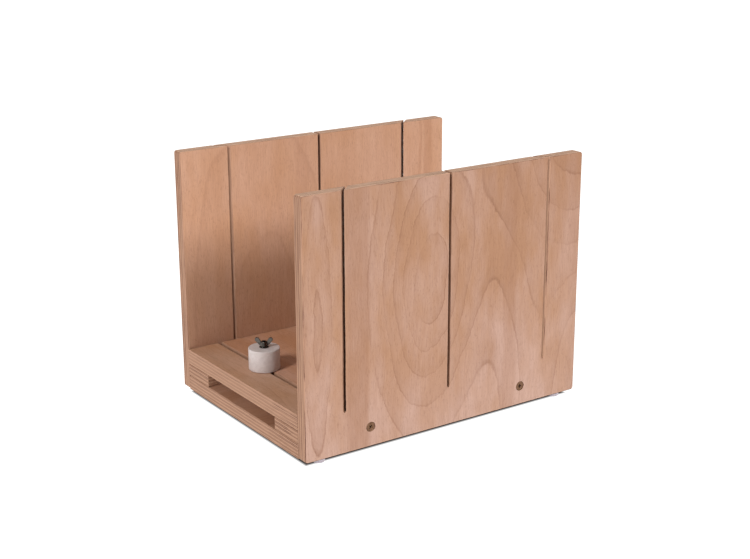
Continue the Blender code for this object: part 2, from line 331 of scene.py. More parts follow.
    # fibres and ray flecks
    fibre = addNode(tree, "Mapping", {0: warped, 1: (0, 0, seed), 3: look["fibre"]}, vector_type="TEXTURE")
    fibre = addNode(tree, "TexNoise", {"Vector": fibre, "Scale": 1.0, "Detail": 3.0, "Roughness": 0.65})
    fibre = addNode(tree, "MapRange", {0: fibre, 1: 0.3, 2: 0.7})
    dash = addNode(tree, "Mapping", {0: wavy, 1: (seed, 0, 0), 3: look["dash"]}, vector_type="TEXTURE")
    dash = addNode(tree, "TexNoise", {"Vector": dash, "Scale": 1.0, "Detail": 2.0})
    dash = addNode(tree, "MapRange", {0: dash, 1: 0.55, 2: 0.68})

    colour = addNode(tree, "Mix", {0: patch, 6: linear(look["pink"]), 7: linear(look["tan"])}, out=2,
                     data_type="RGBA")
    for amount, darker in ((streak, "shade"), (ringAmount, "ring")):
        colour = addNode(tree, "Mix", {0: amount, 6: colour, 7: linear(look[darker])}, out=2,
                         data_type="RGBA")
    for mask, strength in ((fibre, "fibreStrength"), (dash, "dashStrength")):
        amount = addNode(tree, "Math", {0: mask, 1: look[strength]}, operation="MULTIPLY")
        colour = addNode(tree, "Mix", {0: amount, 6: colour, 7: linear(look["fleck"])}, out=2,
                         data_type="RGBA")
    colour = addNode(tree, "Mix", {0: 1.0, 6: colour, 7: linear(plan["tint"])}, out=2, data_type="RGBA",
                     blend_type="MULTIPLY")
    rough = addNode(tree, "MapRange", {0: fibre, 3: 0.50, 4: 0.66})
    relief = addNode(tree, "Math", {0: fibre, 1: dash}, operation="ADD")
    bump = addNode(tree, "Bump", {"Height": relief, "Strength": 0.4, "Distance": 0.06 * mm})
    wired(tree, shader, Base_Color=colour, Roughness=rough, Normal=bump)
    return material


# Sawn plywood edge: plies that run along the edge are pale and streaky, plies cut across are dark and
# open-pored, and each glue line is a thin, broken brown thread.

edgeLook = {
    "alongGrain": "#EFBDA2",
    "acrossGrain": "#B18265",
    "pore": "#93674F",
    "glue": "#683826",
    "glueShare": 0.30,  # of one ply
    "lineStrength": (0.35, 1.6),  # some glue lines close up, some gape
    "nearFront": (-100.0, -40.0),  # in mm along Y, where the glue lines fade towards the back
    # sizes in mm: across the board, along it and through it
    "waver": (14, 14, 3),
    "waverReach": 0.7,
    "streak": (22, 22, 0.35),
    "pores": (0.9, 0.9, 0.6),
    "break": (30, 30, 2.2),
}


def edgeMaterial(name, axes, start, thickness, plan, firstPly, tint):  # even plies run along the edge
    look = edgeLook
    material, tree, shader = newMaterial(name, Roughness=0.7, Specular_IOR_Level=0.3)
    place = addNode(tree, "TexCoord", {}, out="Object")
    place = addNode(tree, "VectorMath", {0: place, "Scale": 1000.0}, operation="SCALE")
    parts = addNode(tree, "SeparateXYZ", {0: place}).node.outputs
    board = addNode(tree, "CombineXYZ", {i: parts[axis] for i, axis in enumerate(axes)})
    waver = addNode(tree, "Mapping", {0: board, 3: look["waver"]}, vector_type="TEXTURE")
    waver = addNode(tree, "TexNoise", {"Vector": waver, "Scale": 1.0, "Detail": 2.0})
    depth = addNode(tree, "Math", {0: waver, 1: look["waverReach"], 2: parts[axes[2]]},
                    operation="MULTIPLY_ADD")
    middle = look["waverReach"] / 2
    ply = addNode(tree, "MapRange", {0: depth, 1: start / mm + middle, 2: (start + thickness) / mm + middle,
                                     3: float(firstPly), 4: float(firstPly + plan["plies"])}, clamp=False)
    number = addNode(tree, "Math", {0: ply}, operation="FLOOR")
    within = addNode(tree, "Math", {0: ply}, operation="FRACT")
    across = addNode(tree, "Math", {0: number, 1: 2.0}, operation="FLOORED_MODULO")
    streaks = addNode(tree, "Mapping", {0: board, 3: look["streak"]}, vector_type="TEXTURE")
    streaks = addNode(tree, "TexNoise", {"Vector": streaks, "Scale": 1.0, "Detail": 3.0, "Roughness": 0.7})
    streaks = addNode(tree, "MapRange", {0: streaks, 1: 0.3, 2: 0.7})
    pores = addNode(tree, "Mapping", {0: board, 3: look["pores"]}, vector_type="TEXTURE")
    pores = addNode(tree, "TexNoise", {"Vector": pores, "Scale": 1.0, "Detail": 2.0})
    pores = addNode(tree, "MapRange", {0: pores, 1: 0.35, 2: 0.65})
    shade = addNode(tree, "TexWhiteNoise", {"W": number}, out="Value", noise_dimensions="1D")
    pale = addNode(tree, "Math", {0: streaks, 1: 0.35}, operation="MULTIPLY")
    pale = addNode(tree, "Mix", {0: pale, 6: linear(look["alongGrain"]), 7: linear(look["pore"])}, out=2,
                   data_type="RGBA")
    openPores = addNode(tree, "Math", {0: pores, 1: 0.5}, operation="MULTIPLY")
    dark = addNode(tree, "Mix", {0: openPores, 6: linear(look["acrossGrain"]), 7: linear(look["pore"])},
                   out=2, data_type="RGBA")
    contrast = addNode(tree, "MapRange", {0: shade, 3: 0.35, 4: plan["contrast"]})
    across = addNode(tree, "Math", {0: across, 1: contrast}, operation="MULTIPLY")
    colour = addNode(tree, "Mix", {0: across, 6: pale, 7: dark}, out=2, data_type="RGBA")
    broken = addNode(tree, "Mapping", {0: board, 3: look["break"]}, vector_type="TEXTURE")
    broken = addNode(tree, "TexNoise", {"Vector": broken, "Scale": 1.0, "Detail": 2.0})
    broken = addNode(tree, "MapRange", {0: broken, 1: 0.42, 2: 0.60, 4: plan["glue"]})
    front, back = look["nearFront"]
    reach = addNode(tree, "MapRange", {0: parts[1], 1: front, 2: back, 3: 1.0, 4: plan["glueBehind"]})
    broken = addNode(tree, "Math", {0: broken, 1: reach}, operation="MULTIPLY")
    line = addNode(tree, "Math", {0: number, 1: plan["seed"]}, operation="ADD")
    line = addNode(tree, "TexWhiteNoise", {"W": line}, out="Value", noise_dimensions="1D")
    closed, gaping = look["lineStrength"]
    line = addNode(tree, "MapRange", {0: line, 1: 0.2, 2: 0.8, 3: closed, 4: gaping})
    broken = addNode(tree, "Math", {0: broken, 1: line}, operation="MULTIPLY", use_clamp=True)
    glue = addNode(tree, "Math", {0: within, 1: look["glueShare"]}, operation="LESS_THAN")
    glue = addNode(tree, "Math", {0: glue, 1: broken}, operation="MULTIPLY")
    colour = addNode(tree, "Mix", {0: glue, 6: colour, 7: linear(look["glue"])}, out=2, data_type="RGBA")
    colour = addNode(tree, "Mix", {0: 1.0, 6: colour, 7: linear(tint)}, out=2, data_type="RGBA",
                     blend_type="MULTIPLY")
    relief = addNode(tree, "Mix", {0: across, 6: streaks, 7: pores}, out=2, data_type="RGBA")
    bump = addNode(tree, "Bump", {"Height": relief, "Strength": 0.5, "Distance": 0.12 * mm})
    wired(tree, shader, Base_Color=colour, Normal=bump)
    return material


# Kerf walls: the blade has burnt them dark brown with upright tooth marks, and the colour is taken near
# black as painted shade for the shadow deep in the slot. The same material paints a shadow line on the
# lowest arrises.

def scorchedCutPaintedShade():
    material, tree, shader = newMaterial("scorchedCutPaintedShade", Roughness=0.8, Specular_IOR_Level=0.25)
    place = addNode(tree, "TexCoord", {}, out="Object")
    marks = addNode(tree, "Mapping", {0: place, 3: (0.6 * mm, 0.6 * mm, 9 * mm)}, vector_type="TEXTURE")
    marks = addNode(tree, "TexNoise", {"Vector": marks, "Scale": 1.0, "Detail": 3.0})
    # near black: burn marks and painted shade together
    colour = addNode(tree, "ValToRGB", {0: marks}, stops=[(0.3, "#170602"), (0.7, "#2D1208")])
    bump = addNode(tree, "Bump", {"Height": marks, "Strength": 0.5, "Distance": 0.1 * mm})
    wired(tree, shader, Base_Color=colour, Normal=bump)
    return material


# Yellow-passivated steel wood screws: brassy brown with a faint rainbow mottle, dulled by handling.

def yellowZinc():
    material, tree, shader = newMaterial("yellowZincSteel", Metallic=1.0, Roughness=0.36)
    place = addNode(tree, "TexCoord", {}, out="Object")
    mottle = addNode(tree, "TexNoise", {"Vector": place, "Scale": 650.0, "Detail": 3.0})
    colour = addNode(tree, "ValToRGB", {0: mottle},
                     stops=[(0.3, "#5C4231"), (0.7, "#6E4E40"), (0.5, "#80614A")])
    rough = addNode(tree, "MapRange", {0: mottle, 1: 0.3, 2: 0.7, 3: 0.30, 4: 0.5})
    bump = addNode(tree, "Bump", {"Height": mottle, "Strength": 0.25, "Distance": 0.03 * mm})
    wired(tree, shader, Base_Color=colour, Roughness=rough, Normal=bump)
    return material


# Bright zinc-plated steel: grey metal with a fine plating mottle and soft scratches. Its colour is taken far
# darker than bright zinc, as painted shade for dark surroundings in its reflection.

def zincWithPaintedShade():
    material, tree, shader = newMaterial("zincSteelWithPaintedShade", Metallic=1.0, Roughness=0.28)
    place = addNode(tree, "TexCoord", {}, out="Object")
    mottle = addNode(tree, "TexNoise", {"Vector": place, "Scale": 900.0, "Detail": 4.0})
    # dark greys: partly the zinc, partly painted shade for dark reflected surroundings
    colour = addNode(tree, "ValToRGB", {0: mottle}, stops=[(0.3, "#4C4743"), (0.7, "#69635D")])
    rough = addNode(tree, "MapRange", {0: mottle, 1: 0.3, 2: 0.7, 3: 0.14, 4: 0.28})
    bump = addNode(tree, "Bump", {"Height": mottle, "Strength": 0.3, "Distance": 0.03 * mm})
    wired(tree, shader, Base_Color=colour, Roughness=rough, Normal=bump)
    return material


# White acetal bar, turned and parted off: satin, slightly warm, with light lathe rings.

def turnedAcetal(centre):
    material, tree, shader = newMaterial("whiteAcetal", Roughness=0.42, Subsurface_Weight=0.12,
                                         Subsurface_Scale=1.0,
                                         Subsurface_Radius=(0.9 * mm, 0.8 * mm, 0.7 * mm))
    place = addNode(tree, "TexCoord", {}, out="Object")
    place = addNode(tree, "Mapping", {0: place, 1: [-c for c in centre]})
    parts = addNode(tree, "SeparateXYZ", {0: place}).node.outputs
    flat = addNode(tree, "CombineXYZ", {0: parts[0], 1: parts[1]})
    radius = addNode(tree, "VectorMath", {0: flat}, operation="LENGTH", out="Value")
    feed = addNode(tree, "Math", {0: radius, 1: parts[2]}, operation="ADD")
    latheFeed = 0.35 * mm
    feed = addNode(tree, "Math", {0: feed, 1: 1 / latheFeed}, operation="MULTIPLY")
    rings = addNode(tree, "TexNoise", {"W": feed, "Scale": 1.0, "Detail": 2.0}, noise_dimensions="1D")
    scuffs = addNode(tree, "TexNoise", {"Vector": place, "Scale": 260.0, "Detail": 4.0})
    colour = addNode(tree, "ValToRGB", {0: scuffs}, stops=[(0.3, "#C5B9B5"), (0.7, "#D3C8C5")])
    rough = addNode(tree, "MapRange", {0: rings, 1: 0.3, 2: 0.7, 3: 0.36, 4: 0.5})
    bump = addNode(tree, "Bump", {"Height": rings, "Strength": 0.35, "Distance": 0.02 * mm})
    wired(tree, shader, Base_Color=colour, Roughness=rough, Normal=bump)
    return material


# Polyurethane bumper: milky, soft, slightly cloudy, with a dusty skin.

def milkyBumper():
    material, tree, shader = newMaterial("milkyPolyurethane", Roughness=0.32, IOR=1.49,
                                         Transmission_Weight=0.15,
                                         Subsurface_Weight=0.3, Subsurface_Scale=1.0,
                                         Subsurface_Radius=(1.5 * mm, 1.5 * mm, 1.7 * mm))
    place = addNode(tree, "TexCoord", {}, out="Object")
    cloud = addNode(tree, "TexNoise", {"Vector": place, "Scale": 420.0, "Detail": 2.0})
    colour = addNode(tree, "ValToRGB", {0: cloud}, stops=[(0.3, "#A69CA4"), (0.7, "#BBB2BA")])
    bump = addNode(tree, "Bump", {"Height": cloud, "Strength": 0.15, "Distance": 0.05 * mm})
    wired(tree, shader, Base_Color=colour, Normal=bump)
    return material


print("materials ready")


# saw kerfs: the blade wanders a little, tears the veneer and leaves a point where its teeth stopped

kerfs = {
    "cuts": {"left": (-45, 2.35 * mm, 3.5 * mm), "square": (0, 2.9 * mm, 5.5 * mm),
             "right": (45, 2.5 * mm, 1.5 * mm)},  # turn, width, depth below the floor
    "wander": (0.45 * mm, 40 * mm),  # how far, and over what length
    "tearing": (0.28 * mm, 2.0 * mm),
    "steps": 130,  # up the blade
    "toothPoint": 0.3,  # width of the very end of a slot, as a share
}
# the last slot is for the kerf walls and the painted shadow line on the lowest arrises
faceSlot, endSlot, topSlot, kerfAndShadowSlot = range(4)


def markedFor(tool, slot):  # the faces that a tool leaves take its material
    for i in range(4):
        tool.data.materials.append(None)
    for face in tool.data.polygons:
        face.material_index = slot
    return tool


def bladeFor(cutName, seed):
    turn, width, belowFloor = kerfs["cuts"][cutName]
    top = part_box("front_wall")[1][2] + 2 * mm
    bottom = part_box("floor_plate")[1][2] - belowFloor
    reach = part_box("back_wall")[1][1] * 2
    blade = boxPiece("blade", (-width / 2, -reach, bottom), (width / 2, reach, top))
    editEdges(blade, lambda a, b: abs(a.z - b.z) > 0.01)
    bpy.ops.mesh.subdivide(number_cuts=kerfs["steps"])
    leaveEditMode()
    squeezeEnd(blade, bottom + 0.1 * mm, (0, 0, bottom), (kerfs["toothPoint"], 1, 1))
    guide = bpy.data.objects.new("bladeGuide", None)
    guide.location = (seed * 0.37, seed * 0.11, 0)
    bpy.context.collection.objects.link(guide)
    bpy.context.view_layer.update()
    for amount, size in (kerfs["wander"], kerfs["tearing"]):
        texture = bpy.data.textures.new("bladeDrift", "CLOUDS")
        texture.noise_scale = size
        texture.noise_depth = 1
        applied(blade, "DISPLACE", texture=texture, texture_coords="OBJECT", texture_coords_object=guide,
                strength=amount, mid_level=0.5, direction="X")
        bpy.data.textures.remove(texture)
    bpy.data.objects.remove(guide)
    return markedFor(placed(blade, Matrix.Rotation(math.radians(turn), 4, "Z")), kerfAndShadowSlot)


# wood screws: their sizes come first, because the boards are drilled for them

woodScrew = {
    "headRadius": 4.5 * mm,
    "land": 0.4 * mm,
    "coreRadius": 1.25 * mm,
    "crestRadius": 1.7 * mm,
    "pitch": 1.9 * mm,
    "recess": (4.9 * mm, 1.1 * mm, 2.3 * mm),  # span, width, depth
    "pilotRadius": 2.0 * mm,
    "sink": 0.3 * mm,
    "holeGap": 0.3 * mm,
    "point": 6 * mm,
    "edge": 0.12 * mm,
    "turns": (20, 37),  # degrees for the first screw, and more for each next one
}

screwNodes = [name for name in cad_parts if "_screw_" in name]


def screwPlace(node):  # the hole's mouth on the board's face, with +Z out of the board
    low, high = (Vector(c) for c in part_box(node))
    mouth = (low + high) / 2
    outward = Vector((0, 0, -1))
    if node.startswith("wall"):
        outward = Vector((0, -1 if "front" in node else 1, 0))
    for axis in range(3):
        if outward[axis]:
            mouth[axis] = (low if outward[axis] < 0 else high)[axis] + woodScrew["sink"] * outward[axis]
    turn = Vector((0, 0, 1)).rotation_difference(outward).to_matrix().to_4x4()
    return Matrix.Translation(mouth) @ turn


def screwLength(node):
    low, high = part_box(node)
    return round(max(h - l for l, h in zip(low, high)) + woodScrew["sink"], 5)


def drilledFor(board, node):
    s = woodScrew
    bottom = -screwLength(node) - s["holeGap"]
    mouth = s["headRadius"] + s["holeGap"]
    face = -s["sink"] - s["land"]
    pilot = s["pilotRadius"]
    outline = [(0, 3 * mm), (mouth, 3 * mm), (mouth, face), (pilot, face - mouth + pilot), (pilot, bottom),
               (0, bottom)]
    drill = turnedPiece("drill", outline, 40)
    worked(board, markedFor(placed(drill, screwPlace(node)), endSlot))


# boards: arches are (across, along, half width, half length, rings, darkening), stripes (across, half width,
# strength), and the colour is paler and pinker below the heights of "fade", turning tan above them

boards = {
    "front_wall": {
        "thick": 1, "plies": 7, "contrast": 0.75, "glue": 0.65, "glueBehind": 1.0, "corner": 2.5 * mm,
        "seed": 3.0, "drift": (12, 26), "ringsAcross": 0.6, "ringMark": 1.0, "patches": 0.9,
        "fade": (20, 130), "tint": "#DEDFE2",
        "arches": [(-23, 150, 46, 112, 5.0, 0.0), (150, 290, 112, 165, 6.6, 0.3),
                   (107, 10, 38, 140, 1.9, -0.18), (-142, 120, 13, 120, 1.8, 0.0)],
        "stripes": [(-100, 14, 0.45), (72, 9, 0.3)]},
    "back_wall": {
        "thick": 1, "plies": 7, "contrast": 0.75, "glue": 0.65, "glueBehind": 1.0, "corner": 2.5 * mm,
        "seed": 11.0, "drift": (9, 24), "ringsAcross": 0.7, "ringMark": 0.45, "patches": 0.35,
        "fade": (-60, 60), "tint": "#FFFFFF",
        "arches": [(-64, 60, 80, 190, 2.15, 0.0)],
        "stripes": [(136, 6, 0.4), (126, 2, 0.4), (-20, 9, 0.2)]},
    "base_plate": {
        "thick": 2, "plies": 9, "contrast": 0.8, "glue": 1.0, "glueBehind": 0.4,
        "seed": 23.0, "drift": (14, 30), "ringsAcross": 1.6, "ringMark": 0.7, "patches": 0.8,
        "fade": (-200, 200), "tint": "#D2C8BC",
        "arches": [(30, 0, 60, 170, 4.0, 0.0)], "stripes": [(-40, 16, 0.3)]},
    "rail_front": {
        "thick": 2, "plies": 7, "contrast": 0.9, "glue": 1.0, "glueBehind": 0.6,
        "seed": 31.0, "drift": (10, 20), "ringsAcross": 1.4, "ringMark": 0.7, "patches": 0.8,
        "fade": (-200, 200), "tint": "#F1F1F1",
        "arches": [(0, 0, 60, 200, 3.0, 0.0)], "stripes": []},
    "rail_back": {
        "thick": 2, "plies": 7, "contrast": 0.9, "glue": 1.0, "glueBehind": 0.6,
        "seed": 37.0, "drift": (10, 20), "ringsAcross": 1.4, "ringMark": 0.7, "patches": 0.8,
        "fade": (-200, 200), "tint": "#F1F1F1",
        "arches": [(0, 0, 60, 200, 3.0, 0.0)], "stripes": []},
    "floor_plate": {
        "thick": 2, "plies": 9, "contrast": 0.55, "glue": 1.0, "glueBehind": 0.4,
        "seed": 41.0, "drift": (14, 30), "ringsAcross": 1.4, "ringMark": 0.5, "patches": 0.7,
        "fade": (-200, 200), "tint": "#F6EDE5",
        "arches": [(60, -40, 170, 46, 3.0, 0.0), (-60, 70, 170, 40, 3.0, 0.0)], "stripes": []},
    "floor_end_strip": {
        "thick": 2, "plies": 9, "contrast": 0.55, "glue": 1.0, "glueBehind": 0.4,
        "seed": 43.0, "drift": (14, 24), "ringsAcross": 0.8, "ringMark": 0.5, "patches": 0.7,
        "fade": (-200, 200), "tint": "#F7F6EE",
        "arches": [(-170, 20, 24, 170, 1.6, 0.0)], "stripes": []},
}
arris = 0.45 * mm
shadowLineBelow = 6 * mm  # boards that come lower than this get a painted shadow line on their lower arrises
edgeTints = {"ends": "#C4C0B8", "tops": "#F4FFFF"}

# torn-out veneer along the sawn edges
chips = {"count": 34, "length": (0.8 * mm, 3.2 * mm), "depth": (0.12 * mm, 0.4 * mm)}


def touchesBox(node, other):
    low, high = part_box(node)
    otherLow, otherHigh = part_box(other)
    return all(l < oh and ol < h for l, h, ol, oh in zip(low, high, otherLow, otherHigh))


def chippedTop(board, node, seed):  # one long tool of squashed balls takes all the chips at once
    draw = random.Random(seed)
    low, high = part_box(node)
    leaveEditMode()
    bpy.ops.object.select_all(action="DESELECT")
    bpy.ops.mesh.primitive_ico_sphere_add(subdivisions=1, radius=1, location=(0, 0, 0))
    ball = newPiece("chipTool")
    tools = []
    for i in range(chips["count"]):
        chip = copied(ball, "chipTool")
        length = draw.uniform(*chips["length"])
        depth = draw.uniform(*chips["depth"])
        along = draw.uniform(low[0] + 4 * mm, high[0] - 4 * mm)
        place = Matrix.Translation((along, draw.choice((low[1], high[1])), high[2]))
        turn = Matrix.Rotation(draw.uniform(-0.3, 0.3), 4, "Y")
        tools.append(placed(chip, place @ turn @ Matrix.Diagonal((length, depth, depth, 1))))
    bpy.data.objects.remove(ball)
    pickOnly(tools[0])
    for chip in tools[1:]:
        chip.select_set(True)
    bpy.ops.object.join()
    tool = bpy.context.object
    applied(board, "BOOLEAN", object=markedFor(tool, topSlot), operation="DIFFERENCE", solver="EXACT",
            use_self=True)
    bpy.data.objects.remove(tool)


def cutBoard(node, plan):
    low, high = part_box(node)
    thick = plan["thick"]
    board = boxPiece(node + "_board", low, high)
    if "corner" in plan:
        editEdges(board, lambda a, b: abs(a[thick] - b[thick]) > mm)
        bpy.ops.mesh.bevel(offset=plan["corner"], segments=5, affect="EDGES")
    editEdges(board, lambda a, b: abs(a[thick] - b[thick]) < 0.01 * mm)
    bpy.ops.mesh.bevel(offset=arris, segments=2, affect="EDGES")
    leaveEditMode()
    markedFor(board, faceSlot)
    if "corner" in plan:
        chippedTop(board, node, int(plan["seed"]))
        for number, cutName in enumerate(kerfs["cuts"]):
            worked(board, bladeFor(cutName, plan["seed"] + number))
    for screw in screwNodes:
        if touchesBox(node, screw):
            drilledFor(board, screw)
    return board


def clothedBoard(node, plan):  # veneer on the two faces, plies on everything sawn
    board = cutBoard(node, plan)
    thick = plan["thick"]
    low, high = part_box(node)
    standing = thick == 1
    faceAxes = (0, 2, 1) if standing else (1, 0, 2)  # across the grain, along it, through the board
    if node == "floor_end_strip" or node == "floor_plate":
        faceAxes = (0, 1, 2)  # the floor's grain runs across the channel
    size = high[thick] - low[thick]
    veneer = veneerMaterial(node + "_veneer", faceAxes, plan)
    ends = edgeMaterial(node + "_ends", faceAxes, low[thick], size, plan, 0, edgeTints["ends"])
    tint = edgeTints["tops" if standing else "ends"]
    tops = edgeMaterial(node + "_tops", faceAxes, low[thick], size, plan, 1, tint)
    dressed(board, veneer, ends, tops, scorchPaintedShade)
    sawnAcross = faceAxes[1]
    for face in board.data.polygons:
        if face.material_index == faceSlot and abs(face.normal[thick]) < 0.98:
            face.material_index = topSlot if abs(face.normal[sawnAcross]) > 0.75 else endSlot
        # painted shadow: the lowest arrises that face down take the dark kerf material, a thin contact
        # shadow line
        lowest = low[2] < shadowLineBelow and face.center.z < low[2] + 1.5 * arris
        if lowest and -0.95 < face.normal.z < -0.2:
            face.material_index = kerfAndShadowSlot
    return fitted(board, "box", "plywood", node)


scorchPaintedShade = scorchedCutPaintedShade()
for node, plan in boards.items():
    clothedBoard(node, plan)
    print("board", node)


# the screws themselves

def screwThread(top, bottom):  # a sharp ridge wound round the core
    s = woodScrew
    inside = s["coreRadius"] - 0.15 * mm
    ridge = drawnLine("thread", [(inside, 0, 0.35 * mm), (s["crestRadius"], 0, 0.04 * mm),
                                 (s["crestRadius"], 0, -0.04 * mm), (inside, 0, -0.35 * mm),
                                 (inside, 0, 0.35 * mm)])
    cleanMesh(ridge)
    applied(ridge, "SCREW", axis="Z", angle=2 * math.pi, screw_offset=s["pitch"],
            iterations=int((top - bottom) / s["pitch"]), steps=20, render_steps=20,
            use_merge_vertices=True, merge_threshold=0.001 * mm)
    editAll(ridge)
    bpy.ops.mesh.select_all(action="DESELECT")
    bpy.ops.mesh.select_non_manifold()
    bpy.ops.mesh.edge_face_add()
    cleanMesh(ridge)
    return placed(ridge, Matrix.Translation((0, 0, bottom)))


def modelScrew(length):
    s = woodScrew
    top = -s["sink"]
    coneEnd = top - s["land"] - (s["headRadius"] - s["coreRadius"])
    edge = s["edge"]
    outline = [(0, top), (s["headRadius"] - edge, top), (s["headRadius"], top - edge),
               (s["headRadius"], top - s["land"]), (s["coreRadius"], coneEnd),
               (s["coreRadius"], -length + s["point"]), (0, -length)]
    screw = turnedPiece("screwBlank", outline, 48)
    span, width, depth = s["recess"]
    for turn in (0, 90):
        arm = boxPiece("recessArm", (-span / 2, -width / 2, top - depth), (span / 2, width / 2, top + mm))
        squeezeEnd(arm, top - mm, (0, 0, top - depth), (0.4, 0.7, 1))  # the driver's tip is narrower
        worked(screw, placed(arm, Matrix.Rotation(math.radians(turn), 4, "Z")))
    worked(screw, screwThread(coneEnd - mm, -length + s["point"]), "UNION")
    return smoothed(screw, 30)


steelScrews = yellowZinc()
screwModels = {}
for number, node in enumerate(screwNodes):
    length = screwLength(node)
    if length not in screwModels:
        screwModels[length] = modelScrew(length)
    screw = copied(screwModels[length], node + "_steel")
    firstTurn, nextTurn = woodScrew["turns"]
    placed(screw, screwPlace(node) @ Matrix.Rotation(math.radians(nextTurn * number + firstTurn), 4, "Z"))
    fitted(dressed(screw, steelScrews), "box", "yellow_zinc", node)
for model in screwModels.values():
    bpy.data.objects.remove(model)
print("screws")


# feet

bumper = {"radius": 6 * mm, "tread": 4.8 * mm, "height": 4.7 * mm, "lip": 0.3 * mm}
footMaterial = milkyBumper()
for node in [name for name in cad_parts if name.startswith("foot_")]:
    rim = bumper["radius"] - bumper["tread"]
    lip = bumper["lip"]
    outline = [(0, 0)] + arc((bumper["tread"], rim), rim, -90, 0, 8)
    outline += arc((bumper["radius"] - lip, bumper["height"] - lip), lip, 0, 90, 4)
    outline += [(0, bumper["height"])]
    foot = turnedPiece(node + "_bumper", outline, 48)
    middle = middleOf(node)
    placed(foot, Matrix.Translation((middle.x, middle.y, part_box(node)[0][2])))
    fitted(dressed(smoothed(foot), footMaterial), "box", "clear_bumper", node)
print("feet")


# clamp: stop block, washers, bolt and wing nut, all on one axis

clampAxis = middleOf("stop_block")
clampAxis.z = 0

stopShape = {"radius": 15 * mm, "rim": 0.8 * mm, "bore": 2.3 * mm, "boreChamfer": 0.5 * mm}


def modelStop():
    s = stopShape
    low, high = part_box("stop_block")[0][2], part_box("stop_block")[1][2]
    chamfer = s["boreChamfer"]
    rimCentre = s["radius"] - s["rim"]
    outline = [(s["bore"], low + chamfer), (s["bore"] + chamfer, low)]
    outline += arc((rimCentre, low + s["rim"]), s["rim"], -90, 0, 6)
    outline += arc((rimCentre, high - s["rim"]), s["rim"], 0, 90, 6)
    outline += [(s["bore"] + chamfer, high), (s["bore"], high - chamfer), (s["bore"], low + chamfer)]
    stop = placed(turnedPiece("stop_block_turned", outline, 128), Matrix.Translation(clampAxis))
    return fitted(dressed(smoothed(stop), turnedAcetal(clampAxis)), "stop", "white_plastic", "stop_block")


def modelWasher(node, body, material):  # stamped: the top edges are rolled over, the underside is sharp
    low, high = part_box(node)
    outer = (high[0] - low[0]) / 2
    bore = stopShape["bore"]
    roll = 0.2 * mm
    outline = [(bore, low[2]), (outer, low[2])]
    outline += arc((outer - roll, high[2] - roll), roll, 0, 90, 4)
    outline += arc((bore + roll, high[2] - roll), roll, 90, 180, 4)
    outline += [(bore, low[2])]
    washer = placed(turnedPiece(node + "_stamped", outline, 72), Matrix.Translation(clampAxis))
    return fitted(dressed(smoothed(washer), material), body, "bright_zinc", node)


bolt = {"crest": 2.0 * mm, "root": 1.62 * mm, "pitch": 0.7 * mm, "flats": 7 * mm, "head": 2.8 * mm,
        "threadLength": 30 * mm, "turn": 12}


def modelBolt(material):
    b = bolt
    low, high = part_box("clamp_bolt")[0][2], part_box("clamp_bolt")[1][2]
    seat = low + b["head"]
    corner = b["flats"] / 2 / math.cos(math.pi / 6)
    steel = turnedPiece("bolt_forged", [(0, low), (corner, low), (corner, seat), (0, seat)], 6)
    dish = [(0, low - mm), (b["flats"] / 2 - 0.2 * mm, low), (corner + mm, low + 0.8 * mm),
            (corner + mm, seat + mm), (0, seat + mm)]
    worked(steel, turnedPiece("headDish", dish, 72), "INTERSECT")
    threadStart = high - b["threadLength"]
    plainRadius = b["crest"] - 0.05 * mm
    plain = turnedPiece("plainShank", [(0, seat - mm), (plainRadius, seat - mm), (plainRadius, threadStart),
                                       (b["root"], threadStart + 0.3 * mm), (0, threadStart + 0.3 * mm)], 48)
    worked(steel, plain, "UNION")
    pitch = b["pitch"]
    thread = drawnLine("boltThread", [(b["root"], 0, 0), (b["root"], 0, pitch * 0.14),
                                      (b["crest"], 0, pitch * 0.46), (b["crest"], 0, pitch * 0.6),
                                      (b["root"], 0, pitch)])
    leaveEditMode()
    applied(thread, "SCREW", axis="Z", angle=2 * math.pi, screw_offset=pitch,
            iterations=int(b["threadLength"] / pitch) + 4, steps=28, render_steps=28,
            use_merge_vertices=True, merge_threshold=0.001 * mm)
    cleanMesh(thread)
    placed(thread, Matrix.Translation((0, 0, threadStart - 2 * pitch)))
    for height, inner, outer in ((threadStart + 0.1 * mm, True, False), (high, False, True)):
        editAll(thread)
        bpy.ops.mesh.bisect(plane_co=(0, 0, height), plane_no=(0, 0, 1), use_fill=True, clear_inner=inner,
                            clear_outer=outer)
    cleanMesh(thread)
    point = turnedPiece("boltPoint", [(0, seat - 2 * mm), (3 * mm, seat - 2 * mm), (3 * mm, high - 1.5 * mm),
                                      (b["root"] - 0.15 * mm, high), (0, high)], 48)
    worked(thread, point, "INTERSECT")
    worked(steel, thread, "UNION")
    placed(steel, Matrix.Translation(clampAxis) @ Matrix.Rotation(math.radians(b["turn"]), 4, "Z"))
    return fitted(dressed(smoothed(steel, 30), material), "clamp", "bright_zinc", "clamp_bolt")


wing = {"thick": 1.7 * mm, "tipRadius": 2.15 * mm, "hubRadius": 4.0 * mm, "hubTop": 3.3 * mm,
        "hubHeight": 4.5 * mm, "rootX": 2.6 * mm, "bore": 2.3 * mm, "span": 17.2 * mm, "turn": -36,
        "soft": 0.5 * mm, "grain": 0.16 * mm}


